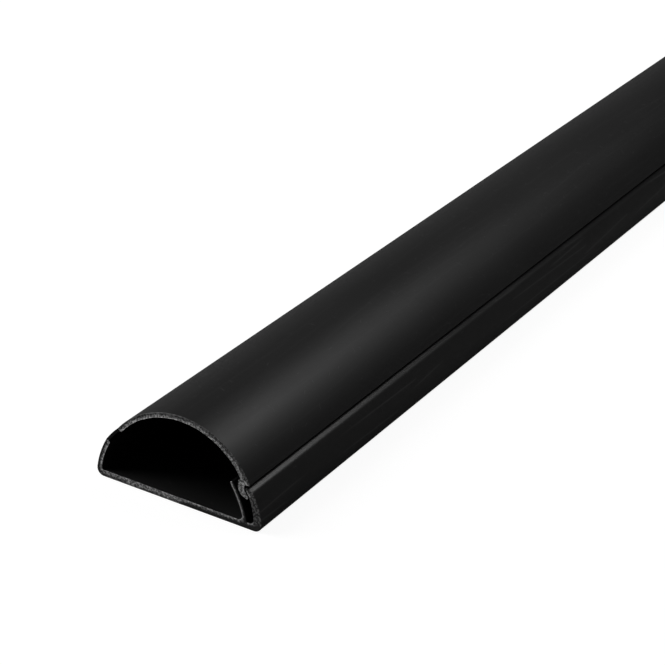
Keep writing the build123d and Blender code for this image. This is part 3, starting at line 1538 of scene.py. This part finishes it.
@dataclass(frozen=True)
class HingeStrip(Piece):
    """Soft strip, bonded edge to edge between the hinge wall and the lid; the real one bends as the lid
    turns.

    Attributes:
        face: What its faces carry: a low burr, because the saw parts soft plastic cleanly.
        bend_spacing: Distance between the points across the strip, close enough for its bend.
    """

    NAME = "hinge_web"
    NODE = "hinge_strip"
    SLOT = Slot.SOFT

    face: Trait = Trait(burr=0.1)
    bend_spacing: float = 0.25

    def outline(self) -> Outline:
        """Draw the outline.

        Returns:
            The outline: two like arcs from hinge edge to hinge edge, a thickness apart and bowed outwards.
        """
        s = self.section
        through = s.into_strip * s.strip_thickness
        bulge = (s.lid_hinge_edge + s.base_hinge_edge) / 2 - s.into_strip * s.strip_bow
        centre = circle_centre(s.lid_hinge_edge, bulge, s.base_hinge_edge)
        lid_inner, base_inner = s.lid_hinge_edge + through, s.base_hinge_edge + through
        outline = Outline(s.lid_hinge_edge, spacing=self.bend_spacing)
        outline.arc(centre, s.base_hinge_edge, trait=self.face)
        outline.line(base_inner, trait=self.face)
        outline.arc(centre + through, lid_inner, trait=self.face)
        outline.line(s.lid_hinge_edge, trait=self.face)
        return outline

    def carry(self, piece: bpy.types.Object) -> bpy.types.Object:
        """Bake the strip's place into its mesh; it rides on neither body and does not bend.

        Args:
            piece: The strip.

        Returns:
            The strip.
        """
        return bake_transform(piece)

    def skins(self, finishes: Finishes) -> tuple[bpy.types.Material, bpy.types.Material]:
        """The soft finish, on the ends too."""
        return finishes.soft, finishes.soft


# Stage: floor, surround, lamps and camera


@dataclass(frozen=True)
class Softbox:
    """A large area lamp.

    Attributes:
        name: Name of the lamp.
        aim: Point that it faces, in metres.
        towards: Direction from that point to the lamp.
        distance: Distance to the lamp in metres.
        size: Width and height in metres.
        radiance: Brightness of its face, where 1 is white.
    """

    name: str
    aim: tuple[float, float, float]
    towards: tuple[float, float, float]
    distance: float
    size: tuple[float, float]
    radiance: float

    def build(self) -> None:
        """Hang the lamp; its power is pi times its radiance times its area."""
        lamp = bpy.data.lights.new(self.name, "AREA")
        lamp.shape = "RECTANGLE"
        lamp.size, lamp.size_y = self.size
        lamp.energy = math.pi * self.radiance * self.size[0] * self.size[1]
        held = add_object(self.name, lamp)
        direction = Vector(self.towards).normalized()
        held.location = Vector(self.aim) + direction * self.distance
        held.rotation_mode = "QUATERNION"
        held.rotation_quaternion = direction.to_track_quat("Z", "Y")
        held.visible_camera = False


@dataclass(frozen=True)
class Stage:
    """White floor and surround, two softboxes, a dim card and the camera.

    Attributes:
        floor_size: Side of the floor in metres.
        floor_fields: Fields of its mesh along a side.
        floor_drop: How far the floor lies under the stock, in metres.
        floor_tone: Grey of the floor in the light of the lamps.
        floor_roughness: Its roughness.
        floor_lift: Light that the floor adds for the camera, so that it comes out white.
        surround: Brightness of the dim studio round the stock.
        sensor: Width of the camera's sensor in millimetres.
        lens: Focal length in millimetres.
        clip: Nearest and farthest distance that the camera sees, in metres.
        eye: Place of the camera in metres.
        right: Direction of the picture's right edge.
        up: Direction of the picture's upper edge.
        lamps: The softboxes and the card.
    """

    floor_size: float = 60.0
    floor_fields: int = 4
    floor_drop: float = 0.00005
    floor_tone: float = 0.21
    floor_roughness: float = 0.9
    floor_lift: float = 0.91
    surround: float = 0.049
    sensor: float = 36.0
    lens: float = 121.933
    clip: tuple[float, float] = (0.01, 200.0)
    eye: tuple[float, float, float] = (0.2601905, -0.9203883, 0.2953231)
    right: tuple[float, float, float] = (0.866212, 0.494165, 0.074004)
    up: tuple[float, float, float] = (-0.277513, 0.352614, 0.893672)
    lamps: tuple[Softbox, ...] = (
        Softbox(
            name="rear_softbox",
            aim=(0.0, -0.45, 0.02),
            towards=(0.3376, 0.5279, 0.7793),
            distance=0.6,
            size=(0.375, 0.21),
            radiance=3.4,
        ),
        Softbox(
            name="side_softbox",
            aim=(0.0, -0.3, 0.02),
            towards=(-0.739, -0.299, 0.605),
            distance=1.8,
            size=(1.3, 1.3),
            radiance=4.2,
        ),
        Softbox(
            name="dim_card",
            aim=(0.0, -0.3, 0.02),
            towards=(-0.6, 0.79, 0.13),
            distance=2.0,
            size=(1.8, 0.5),
            radiance=0.1,
        ),
    )

    @staticmethod
    def _sees_white(graph: Graph) -> Socket:
        """Tell the rays that see the white background.

        Args:
            graph: Shader tree of the floor or the world.

        Returns:
            1 for camera rays, for sharp reflections, as in metal, and for rays through glass; 0 for the
            blurred reflections of a satin skin and for light that falls on the stock.
        """
        ray = graph.node("ShaderNodeLightPath").outputs
        sharp = graph.math("MULTIPLY", ray["Is Glossy Ray"], ray["Is Singular Ray"])
        direct = graph.math("MAXIMUM", ray["Is Camera Ray"], sharp)
        return graph.math("MAXIMUM", direct, ray["Is Transmission Ray"])

    def build_floor(self) -> None:
        """Lay the floor: a grid of square fields on a plane just under the stock."""
        steps = np.linspace(-self.floor_size / 2, self.floor_size / 2, self.floor_fields + 1)
        x, y = np.meshgrid(steps, steps)
        points = np.stack([x, y, np.full_like(x, -self.floor_drop)], axis=-1).reshape(-1, 3)
        index = np.arange(len(points)).reshape(x.shape)
        corners = [index[:-1, :-1], index[:-1, 1:], index[1:, 1:], index[1:, :-1]]
        mesh = bpy.data.meshes.new("studio_floor")
        mesh.from_pydata(points, [], np.stack(corners, axis=-1).reshape(-1, 4).tolist())
        paint = Paint("white_floor")
        paint.set(
            Base_Color=grey(self.floor_tone),
            Roughness=self.floor_roughness,
            Specular_IOR_Level=0.0,
            Emission_Color=grey(1.0),
            Emission_Strength=paint.math("MULTIPLY", self._sees_white(paint), self.floor_lift),
        )
        mesh.materials.append(paint.material)
        floor = add_object("studio_floor", mesh)

    def build_surround(self) -> None:
        """Set the world: dim for the stock, white for what sees the background."""
        world = bpy.data.worlds.new("studio")
        world.use_nodes = True
        graph = Graph(world.node_tree)
        strength = graph.math("MAXIMUM", self._sees_white(graph), self.surround)
        graph.fill(graph.own("BACKGROUND"), Color=grey(1.0), Strength=strength)
        bpy.context.scene.world = world

    def build_camera(self) -> None:
        """Set the camera, which looks along minus its own Z."""
        camera = bpy.data.cameras.new("camera")
        camera.sensor_width = self.sensor
        camera.lens = self.lens
        camera.clip_start, camera.clip_end = self.clip
        held = add_object("camera", camera)
        right, up = Vector(self.right).normalized(), Vector(self.up).normalized()
        turn = Matrix((right, up, right.cross(up))).transposed().to_4x4()
        held.matrix_world = Matrix.Translation(Vector(self.eye)) @ turn
        bpy.context.scene.camera = held

    def build(self) -> None:
        """Build everything that isn't part of the stock."""
        bpy.context.scene.view_settings.view_transform = "Standard"
        self.build_floor()
        self.build_surround()
        for lamp in self.lamps:
            lamp.build()
        self.build_camera()


def main() -> None:
    """Build and dress the pieces in order, logging each one's faces, then build the stage."""
    logging.basicConfig(level=logging.INFO, format="%(name)s: %(message)s")
    section = Section()
    finishes = make_finishes()
    for part in (BaseChannel(section), Lid(section), HingeStrip(section)):
        piece = part.build()
        part.dress(piece, finishes)
        LOG.info("%s replaces %s with %d faces", piece.name, part.NODE, len(piece.data.polygons))
    Stage().build()


if __name__ == "__main__":
    main()
